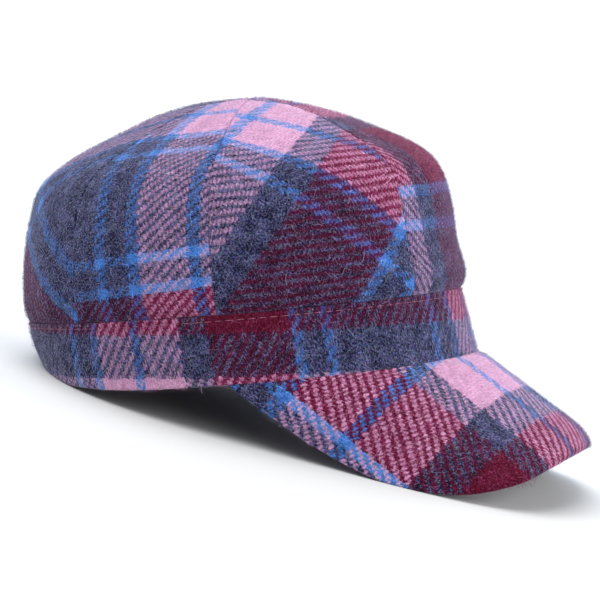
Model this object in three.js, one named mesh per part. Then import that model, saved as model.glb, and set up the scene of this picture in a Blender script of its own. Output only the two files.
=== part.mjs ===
import * as THREE from 'three';
import { mergeVertices } from 'three/addons/utils/BufferGeometryUtils.js';

// A cadet cap of wool twill: six crown gores sewn over an upright band, and a stiff cloth-covered peak.
// Millimetres, +Z up. The peak points along -Y, so the wearer's left is +X.
// Shapes are worked out level, with z = 0 at the band's lower rim. They are then tipped to the way the
// cap lies by itself, on the back of its band and on the two low sides of its peak.

// Driving dimensions
const BAND_HEIGHT = 31;
const BAND_WALL = 2.4;
const CROWN_WALL = 2;
const PEAK_THICKNESS = 4;
const SEAM_GAP = 0.3;

// The band is a ring between two ellipses. At the nape its lower rim is drawn up and in.
const BAND_RIM = { centre: 3.6, halfLength: 103.7, halfWidth: 88.2 };
const BAND_TOP = { centre: -0.4, halfLength: 102.5, halfWidth: 86.1 };
const NAPE_TUCK = 5;
const NAPE_RISE = 11;
const NAPE_NARROWING = 3.5;

// Level sections of the crown: height above the band, middle of the section ahead of the head's middle,
// and half of the section's length and width
const CROWN_LEVELS = [
  { height: 0, centre: -0.2, halfLength: 102.3, halfWidth: 86 },
  { height: 8, centre: 0.3, halfLength: 103.8, halfWidth: 87.6 },
  { height: 22, centre: -0.4, halfLength: 101.8, halfWidth: 88 },
  { height: 36, centre: 0.3, halfLength: 99.9, halfWidth: 86.6 },
  { height: 50, centre: 1.2, halfLength: 96.8, halfWidth: 83 },
  { height: 60, centre: 0.7, halfLength: 92.5, halfWidth: 77.5 },
  { height: 68, centre: 0.1, halfLength: 83.8, halfWidth: 70 },
  { height: 76, centre: 0, halfLength: 69, halfWidth: 57.5 },
  { height: 84, centre: 1.5, halfLength: 51, halfWidth: 43 },
  { height: 90, centre: 1, halfLength: 34, halfWidth: 29 },
  { height: 93.5, centre: 2, halfLength: 20, halfWidth: 17 },
];
const APEX_FORWARD = 14;
const APEX_HEIGHT = 94.6;
const GORE_PUFF = 1.2;

// Each gore runs between two seams, at angles about the apex from the front towards the wearer's left
const GORES = [
  { name: 'crown_gore_front', from: -26, to: 26 },
  { name: 'crown_gore_left_front', from: 26, to: 90 },
  { name: 'crown_gore_left_rear', from: 90, to: 134 },
  { name: 'crown_gore_rear', from: 134, to: 226 },
  { name: 'crown_gore_right_rear', from: 226, to: 270 },
  { name: 'crown_gore_right_front', from: 270, to: 334 },
];

// The peak is ruled: straight lines run forward and down from the rim, each to its own reach, and draw
// together a little on the way. Angles are measured on the rim from the front, and the other half is the
// mirror image. Over the last run before the edge the front bends down into a lip, most at the middle.
const PEAK_DROP = 40.2;
const PEAK_DRAW_PER_MM = 0.0012;
const PEAK_SWELL = 1.5;
const PEAK_REACHES = [
  { angle: 0, reach: 66 },
  { angle: 15, reach: 67.9 },
  { angle: 30, reach: 73.4 },
  { angle: 45, reach: 81.2 },
  { angle: 60, reach: 85.4 },
  { angle: 70, reach: 82.8 },
  { angle: 77, reach: 74.5 },
  { angle: 80.5, reach: 62 },
  { angle: 82.5, reach: 43 },
];
const PEAK_LIP = { drop: 4, run: 14, halfAngle: 55 };
const PEAK_EDGE_ROUND = 1.4;

// The way the cap lies: tipped back, and raised until its lowest cloth is pressed flat
const REST_PITCH = 18.8;
const REST_LIFT = 18.7;

// How finely each piece is divided
const BAND_STEPS = 80;
const BAND_ROWS = [0, 0.2, 0.5, 0.8, 1];
const GORE_COLUMNS = 9;
const GORE_ROWS = 20;
const PEAK_COLUMNS = 44;
const PEAK_ROWS = 10;
const PEAK_ROW_CROWDING = 1.6;

const TWEED = { color: 0x70465c, roughness: 0.95, metalness: 0 };

const radians = THREE.MathUtils.degToRad;
const mix = THREE.MathUtils.lerp;

// Tips a level point to where it lies, pressing flat what would sink below the surface
function settle(point) {
  const pitch = radians(REST_PITCH);
  const settled = point.clone().applyAxisAngle(new THREE.Vector3(1, 0, 0), -pitch);
  settled.z = Math.max(settled.z + REST_LIFT, 0);
  return settled;
}

// Joins section loops of equal length into one closed solid, as a ring or with both ends capped.
// Loops follow one another towards the wearer's left. Each runs up the outside and down the inside.
function loft(sections, ring) {
  const count = sections[0].length;
  const corner = (section, step) => (section % sections.length) * count + (step % count);
  const index = [];
  const quad = (a, b, c, d) => index.push(a, b, c, a, c, d);
  const spans = ring ? sections.length : sections.length - 1;
  for (let i = 0; i < spans; i += 1) {
    for (let k = 0; k < count; k += 1) {
      quad(corner(i, k), corner(i + 1, k), corner(i + 1, k + 1), corner(i, k + 1));
    }
  }
  if (!ring) {
    const last = sections.length - 1;
    for (let k = 0; 2 * k < count - 2; k += 1) {
      const across = count - 1 - k;
      quad(corner(0, k), corner(0, k + 1), corner(0, across - 1), corner(0, across));
      quad(corner(last, across), corner(last, across - 1), corner(last, k + 1), corner(last, k));
    }
  }
  const geometry = new THREE.BufferGeometry().setFromPoints(sections.flat().map(settle));
  geometry.setIndex(index);
  return withoutSlivers(mergeVertices(geometry));
}

// Drops the faces whose corners fell together where a solid narrows to a point
function withoutSlivers(geometry) {
  const corners = geometry.index.array;
  const kept = [];
  for (let i = 0; i < corners.length; i += 3) {
    const [a, b, c] = corners.slice(i, i + 3);
    if (a !== b && b !== c && c !== a) {
      kept.push(a, b, c);
    }
  }
  geometry.setIndex(kept);
  geometry.computeVertexNormals();
  return geometry;
}

function piece(name, geometry) {
  const mesh = new THREE.Mesh(geometry, new THREE.MeshStandardMaterial(TWEED));
  mesh.name = name;
  return mesh;
}

// Band
function bandPoint(angle, rise, depth) {
  const nape = Math.max(-Math.cos(angle), 0) ** NAPE_NARROWING;
  const tuck = NAPE_TUCK * nape * (1 - rise) ** 2;
  const centre = mix(BAND_RIM.centre, BAND_TOP.centre, rise);
  const halfLength = mix(BAND_RIM.halfLength, BAND_TOP.halfLength, rise) - depth - tuck;
  const halfWidth = mix(BAND_RIM.halfWidth, BAND_TOP.halfWidth, rise) - depth;
  const forward = centre + halfLength * Math.cos(angle);
  return new THREE.Vector3(halfWidth * Math.sin(angle), -forward, mix(NAPE_RISE * nape, BAND_HEIGHT, rise));
}

function makeBand() {
  const sections = [];
  for (let step = 0; step < BAND_STEPS; step += 1) {
    const angle = 2 * Math.PI * step / BAND_STEPS;
    const outside = BAND_ROWS.map((rise) => bandPoint(angle, rise, 0));
    const inside = BAND_ROWS.map((rise) => bandPoint(angle, rise, BAND_WALL)).reverse();
    sections.push([...outside, ...inside]);
  }
  return piece('band', loft(sections, true));
}

// Crown gores
function crownColumn(column) {
  return new THREE.SplineCurve(CROWN_LEVELS.map((row) => new THREE.Vector2(row.height, row[column])));
}

const crownCentre = crownColumn('centre');
const crownHalfLength = crownColumn('halfLength');
const crownHalfWidth = crownColumn('halfWidth');

// Distance of the crown from the line under its apex, in one direction, a share of the way up
function crownReach(angle, share) {
  const offset = APEX_FORWARD - crownCentre.getPoint(share).y;
  const along = Math.cos(angle) / crownHalfLength.getPoint(share).y;
  const across = Math.sin(angle) / crownHalfWidth.getPoint(share).y;
  const start = offset / crownHalfLength.getPoint(share).y;
  const square = along * along + across * across;
  const root = Math.sqrt((along * start) ** 2 - square * (start * start - 1));
  return (root - along * start) / square;
}

// Point of a gore's profile: x is the distance from the apex line, y the height
function goreProfile(angle, share, swell) {
  const reach = crownReach(angle, share) + GORE_PUFF * swell * Math.sin(Math.PI * share);
  const height = BAND_HEIGHT + SEAM_GAP + crownHalfLength.getPoint(share).x;
  return new THREE.Vector2(reach, height);
}

function goreSection(gore, across) {
  const from = radians(gore.from);
  const to = radians(gore.to);
  const swell = 4 * across * (1 - across);
  const nudge = 0.001;
  const outside = [];
  const inside = [];
  const place = (angle, profile) => new THREE.Vector3(
    profile.x * Math.sin(angle), -APEX_FORWARD - profile.x * Math.cos(angle), profile.y);
  for (let row = 0; row < GORE_ROWS; row += 1) {
    const share = row / (GORE_ROWS - 1);
    const inset = (edge) => Math.asin(SEAM_GAP / 2 / crownReach(edge, share));
    const angle = mix(from + inset(from), to - inset(to), across);
    const profile = goreProfile(angle, share, swell);
    const above = goreProfile(angle, Math.min(share + nudge, 1), swell);
    const below = goreProfile(angle, Math.max(share - nudge, 0), swell);
    const climb = above.sub(below).normalize();
    const inner = profile.clone().add(new THREE.Vector2(-climb.y, climb.x).multiplyScalar(CROWN_WALL));
    inner.y = row === 0 ? profile.y : inner.y;
    outside.push(place(angle, profile));
    inside.push(place(angle, inner));
  }
  const tipReach = SEAM_GAP / 2 / Math.sin((to - from) / 2);
  const tip = new THREE.Vector2(tipReach, BAND_HEIGHT + SEAM_GAP + APEX_HEIGHT);
  const middle = (from + to) / 2;
  outside.push(place(middle, tip));
  inside.push(place(middle, tip.setY(tip.y - CROWN_WALL)));
  return [...outside, ...inside.reverse()];
}

function makeGore(gore) {
  const sections = [];
  for (let column = 0; column <= GORE_COLUMNS; column += 1) {
    sections.push(goreSection(gore, column / GORE_COLUMNS));
  }
  return piece(gore.name, loft(sections, false));
}

// Peak
const peakHalf = PEAK_REACHES.map((row) => new THREE.Vector2(row.angle, row.reach));
const peakOtherHalf = peakHalf.slice(1).map((point) => new THREE.Vector2(-point.x, point.y));
const peakOutline = new THREE.SplineCurve([...peakOtherHalf.reverse(), ...peakHalf]);

// Point of the peak on the ruling at one rim angle, some way out towards its reach and some way down through
// its thickness
function peakPoint(angle, out, reach, depth) {
  const drop = radians(PEAK_DROP);
  const side = BAND_RIM.halfWidth * Math.sin(angle);
  const forward = BAND_RIM.centre + BAND_RIM.halfLength * Math.cos(angle);
  const rim = new THREE.Vector3(side, -forward, -SEAM_GAP);
  const ruling = new THREE.Vector3(-side * PEAK_DRAW_PER_MM, -Math.cos(drop), -Math.sin(drop));
  const along = new THREE.Vector3(
    BAND_RIM.halfWidth * Math.cos(angle) * (1 - PEAK_DRAW_PER_MM * out),
    BAND_RIM.halfLength * Math.sin(angle),
    0,
  );
  const inward = along.cross(ruling).normalize();
  const swell = PEAK_SWELL * Math.cos(angle) ** 2;
  const middle = Math.max(1 - (angle / radians(PEAK_LIP.halfAngle)) ** 2, 0) ** 2;
  const lip = PEAK_LIP.drop * middle * Math.max(1 - (reach - out) / PEAK_LIP.run, 0) ** 2;
  return rim.addScaledVector(ruling, out).addScaledVector(inward, depth + lip - swell);
}

function makePeak() {
  const sections = [];
  for (let column = 0; column <= PEAK_COLUMNS; column += 1) {
    const end = peakOutline.getPoint(column / PEAK_COLUMNS);
    const angle = radians(end.x);
    const top = [];
    const underside = [];
    for (let row = 0; row <= PEAK_ROWS; row += 1) {
      const out = mix(SEAM_GAP, end.y - PEAK_EDGE_ROUND, 1 - (1 - row / PEAK_ROWS) ** PEAK_ROW_CROWDING);
      top.push(peakPoint(angle, out, end.y, 0));
      underside.push(peakPoint(angle, out, end.y, PEAK_THICKNESS));
    }
    const rim = peakPoint(angle, end.y, end.y, PEAK_THICKNESS / 2);
    sections.push([...underside, rim, ...top.reverse()]);
  }
  return piece('peak', loft(sections, false));
}

const cap = new THREE.Group();
cap.add(makeBand(), ...GORES.map(makeGore), makePeak());

// The origin is under the middle of the cap's box
cap.position.y = -new THREE.Box3().setFromObject(cap).getCenter(new THREE.Vector3()).y;

export default cap;
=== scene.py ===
"""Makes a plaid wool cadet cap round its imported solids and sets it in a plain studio.

Sizes are in metres. The cap is worked out level, with the lower rim of the band at height 0, the peak
towards -Y and the wearer's left towards +X, and is then tipped to the way it lies. Angles run from the
front towards the wearer's left. A place on the cloth is given by its warp and weft thread numbers.
"""

import math
from typing import NamedTuple

import bpy
import numpy as np
from mathutils import Matrix, Vector


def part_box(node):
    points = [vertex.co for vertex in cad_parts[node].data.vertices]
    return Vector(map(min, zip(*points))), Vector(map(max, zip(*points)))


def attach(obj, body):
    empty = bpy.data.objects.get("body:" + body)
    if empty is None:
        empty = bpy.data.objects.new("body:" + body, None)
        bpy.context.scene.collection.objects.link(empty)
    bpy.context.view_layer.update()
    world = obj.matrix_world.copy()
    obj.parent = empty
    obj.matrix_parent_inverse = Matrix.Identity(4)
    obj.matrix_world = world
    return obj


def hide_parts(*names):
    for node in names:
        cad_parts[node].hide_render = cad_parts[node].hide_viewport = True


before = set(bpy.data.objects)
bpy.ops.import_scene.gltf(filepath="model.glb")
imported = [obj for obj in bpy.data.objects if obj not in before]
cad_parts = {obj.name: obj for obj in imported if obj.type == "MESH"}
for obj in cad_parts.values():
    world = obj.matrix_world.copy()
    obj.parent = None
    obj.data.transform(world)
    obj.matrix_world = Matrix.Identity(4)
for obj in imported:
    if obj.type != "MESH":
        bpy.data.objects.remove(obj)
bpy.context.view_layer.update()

bl_info = {
    "name": "Plaid Cadet Cap",
    "version": (1, 0, 0),
    "blender": (4, 5, 0),
    "location": "View3D > Sidebar > Cap",
    "description": "Makes a sewn wool cadet cap round its packed solids",
    "category": "Object",
}

MM = 0.001
TINY = 1e-12
SEED = 8
BAND_SEED = SEED + 20
PEAK_SEED = SEED + 21


class Ellipse(NamedTuple):
    """A level ring: how far forward its middle lies, and half its length and width."""

    centre: float
    half_length: float
    half_width: float


class Lay(NamedTuple):
    """How a piece lies on the cloth: its turn in degrees, the threads at its origin and their pitches."""

    turn: float
    warp_at_origin: float
    weft_at_origin: float
    warp_pitch: float
    weft_pitch: float


class Gore(NamedTuple):
    """One gore of the crown: the angles of its two seams in degrees, and its cloth."""

    name: str
    start: float
    end: float
    lay: Lay


# The form of the solids
BAND_HEIGHT = 31 * MM
BAND_WALL = 2.4 * MM
CROWN_WALL = 2 * MM
PEAK_THICKNESS = 4 * MM
SEAM_GAP = 0.3 * MM
SEAM_GAP_CLIMB = 0.05
BAND_RIM = Ellipse(3.6 * MM, 103.7 * MM, 88.2 * MM)
BAND_TOP = Ellipse(-0.4 * MM, 102.5 * MM, 86.1 * MM)
NAPE_TUCK = 5 * MM
NAPE_RISE = 11 * MM
NAPE_NARROWING = 3.5
APEX_FORWARD = 14 * MM
APEX_HEIGHT = 94.6 * MM
APEX_ROUNDING = 2.5
GORE_PUFF = 1.2 * MM
PEAK_DROP = math.radians(40.2)
PEAK_DRAW = 0.0012 / MM
PEAK_SWELL = 1.5 * MM
PEAK_LIP_DROP = 4 * MM
PEAK_LIP_RUN = 14 * MM
PEAK_LIP_HALF_ANGLE = math.radians(55)
REST_PITCH = math.radians(18.8)
REST_LIFT = 18.7 * MM
BOX_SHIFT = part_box("band")[0].y + (BAND_RIM.centre + BAND_RIM.half_length) * math.cos(REST_PITCH)

# The crown's level rings: height, forward shift of the middle, half length and half width
CROWN_LEVELS = MM * np.array([
    (0, -0.2, 102.3, 86),
    (8, 0.3, 103.8, 87.6),
    (22, -0.4, 101.8, 88),
    (36, 0.3, 99.9, 86.6),
    (50, 1.2, 96.8, 83),
    (60, 0.7, 92.5, 77.5),
    (68, 0.1, 83.8, 70),
    (76, 0, 69, 57.5),
    (84, 1.5, 51, 43),
    (90, 1, 34, 29),
    (93.5, 2, 20, 17),
])

# The peak's half outline: degrees round the rim, and millimetres out from it
PEAK_REACHES = (
    (0, 66),
    (15, 67.9),
    (30, 73.4),
    (45, 81.2),
    (60, 85.4),
    (70, 82.8),
    (77, 74.5),
    (80.5, 62),
    (82.5, 43),
)

GORES = (
    Gore("crown_gore_front", -26, 26, Lay(-90, 118.5, 64.6, 1.3 * MM, 1.05 * MM)),
    Gore("crown_gore_left_front", 26, 90, Lay(40, 30, 61, 1.42 * MM, 1.38 * MM)),
    Gore("crown_gore_left_rear", 90, 134, Lay(-3, 20, 74, 1.45 * MM, 1.25 * MM)),
    Gore("crown_gore_rear", 134, 226, Lay(-36, 146, 41.7, -1.4 * MM, 1.4 * MM)),
    Gore("crown_gore_right_rear", 226, 270, Lay(3, 153, 70, 1.471 * MM, 1.152 * MM)),
    Gore("crown_gore_right_front", 270, 334, Lay(-40, 72.4, 116.8, 1.475 * MM, 1.346 * MM)),
)
BAND_LAY = Lay(-2.4, 69.2, 31.05, 1.162 * MM, 1.746 * MM)
PEAK_LAY = Lay(-3, 4.3, 21.9, 1.342 * MM, 1.728 * MM)

# The plaid's repeat, in threads of one colour after another, alike in warp and weft
SETT = (
    ("pink", 16),
    ("blue", 4),
    ("pink", 16),
    ("charcoal", 12),
    ("burgundy", 32),
    ("blue", 4),
    ("charcoal", 8),
    ("blue", 4),
    ("charcoal", 44),
    ("blue", 4),
    ("charcoal", 8),
    ("blue", 4),
)
SETT_THREADS = sum(count for yarn, count in SETT)

# How strongly the fibres in each yarn differ from one another
MELANGE = {"pink": 0.2, "blue": 0.45, "charcoal": 1, "burgundy": 0.42}

# Close steps in from a seam or an edge, drawn together where the width is too small for them
SEAM_STEPS = MM * np.array([0, 0.12, 0.3, 0.6, 1, 1.5, 2.2, 3.4, 5.5, 7.4, 7.9, 8.4, 9.5])
EDGE_STEPS = MM * np.array([0, 0.1, 0.3, 0.6, 1, 1.5, 2.1, 3.2])
STEPS_ROOM = 2.5

# Rows and columns of the cloth, and points on the lines that measure them out
GORE_ROWS = 62
GORE_COLUMNS = 40
GORE_LOW_STEPS = 0.75 * EDGE_STEPS
GORE_TRIALS = 161
BAND_ROWS = 20
BAND_COLUMNS = 330
BAND_TOP_STEPS = 5
BAND_TRIALS = 1441
GROOVE_STEPS = MM * np.array([-1.6, -1.1, -0.7, -0.35, 0, 0.35, 0.7, 1.1])
PEAK_ROWS = 42
PEAK_COLUMNS = 190
PEAK_TRIALS = 801
STITCH_LINE_POINTS = 721

# What is left of the last ring in the rows that close the crown
APEX_CLOSING = np.append(np.linspace(0.92, 0.06, 13), 0.004)

# Waves in the cloth and puckers along its seams
WAVE_COUNT = 5
WAVE_SIZES = (26 * MM, 60 * MM)
WAVE_CREST = 3
PUCKER_PITCH = 8 * MM
PUCKER_SWING = 1.6
PUCKER_SWING_RUN = 5 * MM
PUCKER_FADE = 4.5 * MM
NARROW_GORE = 14 * MM
SHALLOWEST_SEAM = 0.25

# Folds and grooves, with rolls given by radius and depth
FOLDED_EDGE = 0.05 * MM
BAND_TOP_ROLL = (0.8 * MM, 0.3 * MM)
BACK_SEAM_ROLL = (1.2 * MM, 0.8 * MM)
GROOVE_WIDTH = 0.9 * MM
GROOVE_PULL = 0.3
PEAK_TUCK_RUN = 4.5 * MM
LEAST_EDGE_SLANT = 0.05
SHARP_ANGLE = math.radians(60)

# How far from a seam, an edge or the floor waves and nap begin, and where they are full
GORE_SLACK = (2 * MM, 20 * MM)
HEM_SLACK = (1 * MM, 9 * MM)
BAND_TOP_SLACK = (1 * MM, 8 * MM)
PEAK_SLACK = (2 * MM, 10 * MM)
GORE_SEAM_NAP = (0.3 * MM, 1.5 * MM)
GORE_LOW_NAP = (0.6 * MM, 2 * MM)
BAND_TOP_NAP = (0.4 * MM, 1.4 * MM)
PEAK_ROOT_NAP = (1 * MM, 3 * MM)
FLOOR_NAP = (5 * MM, 10 * MM)

# How a seam allowance thins out about its width
ALLOWANCE_END = (-0.3 * MM, 0.6 * MM)

# The twill, with strays given by their patches to a thread and their reach in threads
TWILL_STEPS = 4
WARP_STEPS = 2
STRAYS = ((0.1, 1.2), (0.7, 1.0), (2.1, 0.7))
NEIGHBOURS = (1.6, 7)
THREAD_TONES = (0.84, 1.12)

# Noises: waves to a thread, and detail
FUZZ = (1.6, 4)
JUMBLE = (2.2, 2)
STREAK = (1, 3)
BLOTCH = (0.22, 2)
HUE = (1.9, 2)
CURL_LINES = (0.9, 1)
CURL_PATCHES = (1.1, 1)

# The yarn on top
TWIST = 0.4
SIDE_FALL = (1.2, 0.1)
END_FALL = (1.3, 0.7)
FUZZ_DEPTH = 0.9
FUZZ_SHARE = 0.35
STREAK_STRETCH = (0.5, 1.7)
STREAK_SHIFT = (7.3, 5.1, 0)

# How it hides the yarn beneath, and how the two felt together, with painted shade in the gaps between yarns
# and a painted highlight on their crests
LEAST_COVER = 0.4
FRAY_JUMBLE = 5
FRAY_STREAK = 2.4
# Share of the gap's colour taken from the darker yarn rather than the matted blend: painted shade between the
# floats
GAP_SHADE_SHARE = 0.68
EVEN_SHARE = 0.55
UNEVEN_FELTING = (0.3, 0.7, 0.5, 1.5)
STRAY_PATCHES = (0.42, 0.62, 0, 2)
# Painted shade where the yarn lies low and a painted highlight where it stands high, as a factor on its
# colour
HEIGHT_SHADE = (0.15, 0.85, 0.8, 1.1)

# How the fibres of a yarn differ
FIBRE_RANGES = {"fuzz": 1.5, "streak": 1.2, "blotch": 0.6}
FIBRE_CONTRAST = 2.2
FLECK_GAIN = (2.2, 2.2, 2.2, 1)
PALE_LIFT = 0.35

# Curling fibres, from two places in the noise
PALE_CURLS = 31.7
DARK_CURLS = -83.2
CURL_WIDTH = 0.045
CURL_RARITY = (0.47, 0.57)
CURL_DIM = (0.3, 0.3, 0.3, 1)

# The bloom and finish of the wool
SHEEN_GAIN = (1.3, 1.3, 1.3, 1)
SHEEN_COOL = (0.68, 0.74, 1, 1)
SHEEN_COOL_SHARE = 0.15
WOOL_FINISH = {"Roughness": 0.92, "Specular IOR Level": 0.1, "Sheen Weight": 1, "Sheen Roughness": 0.22}

# Loose fibres, bent over a length of 1 with Z out of the cloth
FIBRE_BEND = {"Resolution": 3, "Start": (0, 0, -0.02), "Middle": (0.12, 0.3, 0.42), "End": (-0.1, 0.92, 0.16)}
FIBRE_LENGTHS = (0.5, 1.3)
STRAY_FIBRE_GROWTH = 1.3
STRAY_FIBRE_RARITY = 16
STRAY_FIBRE_SEED = 50
NAP_FELTING = 0.2
NAP_LIFT = 0.5
NAP_PALENESS = (0.5, 1, 0, 0.7)

# Stitches, and how far they stand out of their groove
STITCH_LENGTHS = (0.9, 1.08)
STITCH_PROUD = 0.1 * MM

# The sky, and where each far light shines, with its tint
SKY = (0.9, 0.95, 1, 1)
LIGHT_SPREAD = math.radians(60)
LIGHTS = {
    "key": ((0.12, -0.45, -1), (1, 1, 1)),
    "front": ((0.4, 0.85, -0.4), (1, 1, 1)),
    "back": ((-0.9, -0.5, -0.4), (0.7, 0.82, 1)),
    "rim": ((-0.55, 0.8, -0.2), (1, 1, 1)),
}

# The camera against the level cap, and the photo's scale at its target
CAMERA_TURN = math.radians(-73)
CAMERA_TILT = math.radians(87.236)
CAMERA_ROLL = math.radians(-4.945)
CAMERA_AWAY = 1.5
CAMERA_TARGET = (0, -27.01 * MM, 30.86 * MM)
PHOTO_PIXELS = 600
PIXELS_PER_METRE = 2155.2


def amount(name, default, description, **settings):
    """A number from 0 up."""
    return bpy.props.FloatProperty(name=name, description=description, default=default, min=0, **settings)


def length(name, default, description):
    """A length that the sidebar shows in scene units."""
    return amount(name, default, description, precision=5, unit="LENGTH")


def share(name, default, description):
    """A share from none to all."""
    return amount(name, default, description, max=1, subtype="FACTOR")


def colour(name, red, green, blue, description):
    """A colour given as the screen shows it, from 0 to 255."""
    shown = np.array([red, green, blue]) / 255
    linear = np.where(shown < 0.04045, shown / 12.92, ((shown + 0.055) / 1.055) ** 2.4)
    return bpy.props.FloatVectorProperty(
        name=name, description=description, default=linear.tolist(), min=0, max=1, size=3, subtype="COLOR"
    )


class CapSewing(bpy.types.PropertyGroup):
    """Sizes of the seams, folds and stitches."""

    seam_roll: length("Seam roll", 1.7 * MM, "How far from a seam the cloth begins to roll into it")
    seam_depth: length("Seam depth", 0.8 * MM, "How deep the cloth lies at a seam")
    pucker: length("Pucker", 0.2 * MM, "Height of the small waves along a seam")
    slack: length("Slack", 0.35 * MM, "Height of the slow waves in the cloth")
    allowance_width: length("Allowance width", 7.6 * MM, "Width of the cloth pressed open inside each seam")
    allowance_height: length("Allowance height", 0.7 * MM, "How far that cloth stands in from the wall")
    crown_roll: length("Crown edge roll", 2.6 * MM, "How far above the band the crown rolls in")
    crown_depth: length("Crown edge depth", 0.8 * MM, "How deep the crown lies at its seam with the band")
    groove: length("Stitch groove", 0.35 * MM, "How deep the row of stitches pulls the band in")
    peak_root: length("Peak root", 1.2 * MM, "How far the peak goes up behind the rim of the band")
    peak_tuck: length("Peak tuck", 0.6 * MM, "How far the peak dips where it goes under the band")
    stitch_drop: length("Stitch drop", 2.6 * MM, "How far below the top of the band the stitches run")
    stitch_length: length("Stitch length", 3.7 * MM, "Length of thread that shows in each stitch")
    stitch_gap: length("Stitch gap", 1.2 * MM, "Cloth between one stitch and the next")
    stitch_width: length("Stitch width", 0.38 * MM, "Thickness of the sewing thread")


class CapCloth(bpy.types.PropertyGroup):
    """Colours and nap of the tweed."""

    pink: colour("Pink", 206, 151, 188, "Yarn of the pale stripes")
    blue: colour("Blue", 64, 121, 205, "Yarn of the narrow stripes")
    charcoal: colour("Charcoal", 38, 39, 77, "Yarn of the wide dark stripes")
    burgundy: colour("Burgundy", 86, 2, 31, "Yarn of the wide red stripes")
    sewing_thread: colour("Sewing thread", 158, 94, 112, "Thread of the visible stitches")
    crown_felting: share("Crown felting", 0.22, "How far the two yarns at a crossing blend on the crown")
    band_felting: share("Band felting", 0.22, "How far they blend on the band")
    peak_felting: share("Peak felting", 0.12, "How far they blend on the tightly drawn peak")
    grain: amount("Grain", 4, "How far fibres in dark yarn differ in brightness, in stops")
    flecks: share("Flecks", 0.62, "How far the pale fibres in dark yarn show")
    pale_fibre: colour("Pale fibre", 140, 142, 188, "The palest fibres in dark yarn")
    hues: amount("Hues", 2.6, "How far fibres in dark yarn differ in hue")
    curls: share("Curls", 0.55, "How far the fibres that curl on the cloth show")
    relief: length("Relief", 0.5 * MM, "Height of a thread's bump")
    nap_density: amount("Nap density", 1000000, "Loose fibres on each square metre")
    nap_length: length("Nap length", 2.6 * MM, "Mean length of a loose fibre")
    nap_width: length("Nap width", 0.07 * MM, "Width of a loose fibre")


class CapStage(bpy.types.PropertyGroup):
    """Floor and light."""

    floor_size: length("Floor size", 60, "Side of the square floor")
    floor_tone: share("Floor tone", 0.52, "Brightness of the floor")
    fill: amount("Fill", 0.46, "Strength of the light all round")
    key: amount("Key", 3.8, "Strength of the soft light above", unit="POWER")
    front: amount("Front", 1.95, "Strength of the light from ahead of the cap", unit="POWER")
    back: amount("Back", 3.2, "Strength of the light from beyond the cap", unit="POWER")
    rim: amount("Rim", 2.6, "Strength of the low light from beyond the front", unit="POWER")


def catmull_rom(table, along):
    """Uniform Catmull-Rom curve through the rows of a table, along from 0 to 1."""
    last = len(table) - 1
    place = np.clip(along, 0, 1) * last
    row = np.minimum(np.floor(place).astype(int), last - 1)
    part = (place - row)[..., None]
    before, here = table[np.maximum(row - 1, 0)], table[row]
    there, after = table[row + 1], table[np.minimum(row + 2, last)]
    leave, arrive = (there - before) / 2, (after - here) / 2
    cubic = (2 * here - 2 * there + leave + arrive) * part**3
    return cubic + (3 * there - 3 * here - 2 * leave - arrive) * part**2 + leave * part + here


def mix(first, second, part):
    """The value part of the way from the first to the second."""
    return first + (second - first) * part


def smooth_step(value, low, high):
    """0 up to low, 1 from high on, and a smooth rise between."""
    part = np.clip((value - low) / (high - low), 0, 1)
    return part * part * (3 - 2 * part)


def roll_in(distance, radius, depth):
    """How deep a rounded edge lies at this distance in from it."""
    part = np.clip(1 - distance / radius, 0, 1)
    return depth * (1 - np.sqrt(1 - part**2))


def travelled(points, axis):
    """Length along a grid's lines from their first points."""
    steps = np.linalg.norm(np.diff(points, axis=axis), axis=-1)
    start = np.zeros_like(np.take(steps, [0], axis=axis))
    return np.concatenate([start, np.cumsum(steps, axis=axis)], axis=axis)


def spaced(width, steps, between):
    """Places along each width, close together near both of its ends."""
    width = np.asarray(width)[:, None]
    near = steps * np.minimum(1, width / (STEPS_ROOM * steps[-1]))
    even = np.linspace(0, 1, between + 2)[1:-1]
    middle = mix(near[:, -1:], width - near[:, -1:], even)
    return np.concatenate([near, middle, width - near[:, ::-1]], axis=1)


def outward_of(points):
    """Unit normals of a grid whose columns run towards the wearer's left and whose rows run up."""
    normal = np.cross(np.gradient(points, axis=1), np.gradient(points, axis=0))
    return normal / np.maximum(np.linalg.norm(normal, axis=-1, keepdims=True), TINY)


def slow_waves(u, v, height, seed):
    """Gentle waves in slack cloth, from a few sines in fixed directions."""
    chance = np.random.default_rng(seed)
    total = np.zeros(np.broadcast(u, v).shape)
    for wave in range(WAVE_COUNT):
        turn = chance.uniform(0, math.pi)
        size = chance.uniform(*WAVE_SIZES)
        phase = chance.uniform(0, 2 * math.pi)
        total += np.sin(2 * math.pi * (u * math.cos(turn) + v * math.sin(turn)) / size + phase)
    return height * total / WAVE_CREST


def thread_numbers(u, v, lay):
    """Warp and weft numbers at a place on a piece's flat chart."""
    turn = math.radians(lay.turn)
    warp = (math.cos(turn) * u + math.sin(turn) * v) / lay.warp_pitch + lay.warp_at_origin
    weft = (math.cos(turn) * v - math.sin(turn) * u) / lay.weft_pitch + lay.weft_at_origin
    return np.stack([warp, weft], axis=-1)


def settle(points):
    """Level points tipped to the way the cap lies, with what would go below the surface pressed flat."""
    y, z = points[..., 1], points[..., 2]
    lying_y = y * math.cos(REST_PITCH) + z * math.sin(REST_PITCH) + BOX_SHIFT
    lying_z = z * math.cos(REST_PITCH) - y * math.sin(REST_PITCH) + REST_LIFT
    return np.stack([points[..., 0], lying_y, np.maximum(lying_z, 0)], axis=-1)


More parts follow.
